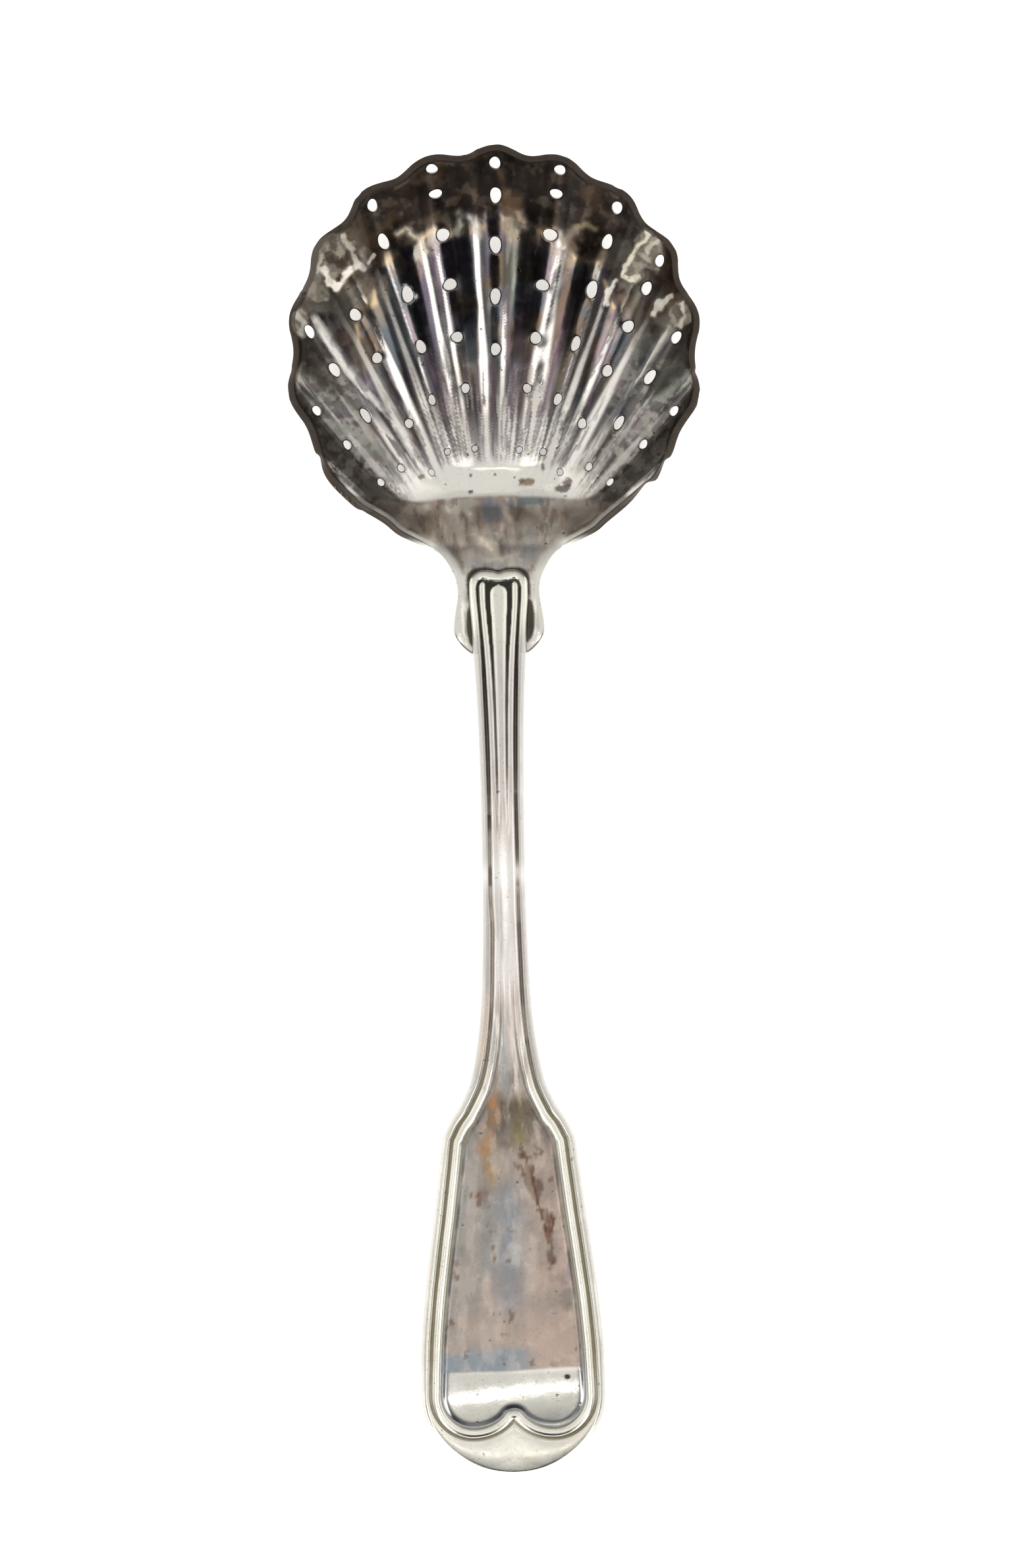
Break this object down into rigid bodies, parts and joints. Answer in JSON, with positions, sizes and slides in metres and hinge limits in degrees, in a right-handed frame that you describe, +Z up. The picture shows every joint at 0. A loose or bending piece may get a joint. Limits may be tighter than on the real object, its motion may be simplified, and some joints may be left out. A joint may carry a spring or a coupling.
{
  "type": "sugar sifter spoon",
  "caption": "Silver sifter spoon: a fluted shell bowl pierced with small holes, soldered to a long threaded fiddle handle.",
  "frame": {"origin": "the point on the table under the middle of the spoon's outline, with the spoon at rest on the table, bowl open upward", "axes": "+X across the spoon, +Y from the handle's tip to the far rim of the bowl, +Z up from the table"},
  "size_m": [0.056, 0.18, 0.0225],
  "materials": {
    "bowl_silver": "old polished silver, dark brown tarnish in the rim zone and the flutes, bright wear on ridges and edges",
    "handle_silver": "old polished silver, dark grooves between bright threads, mottled pink-brown and blue-grey tarnish on the panel",
    "solder": "dull grey silver solder with dark tarnish"
  },
  "bodies": {
    "root": {"bowl": "bowl_silver", "handle": "handle_silver", "solder_seam": "solder"}
  },
  "joints": []
}
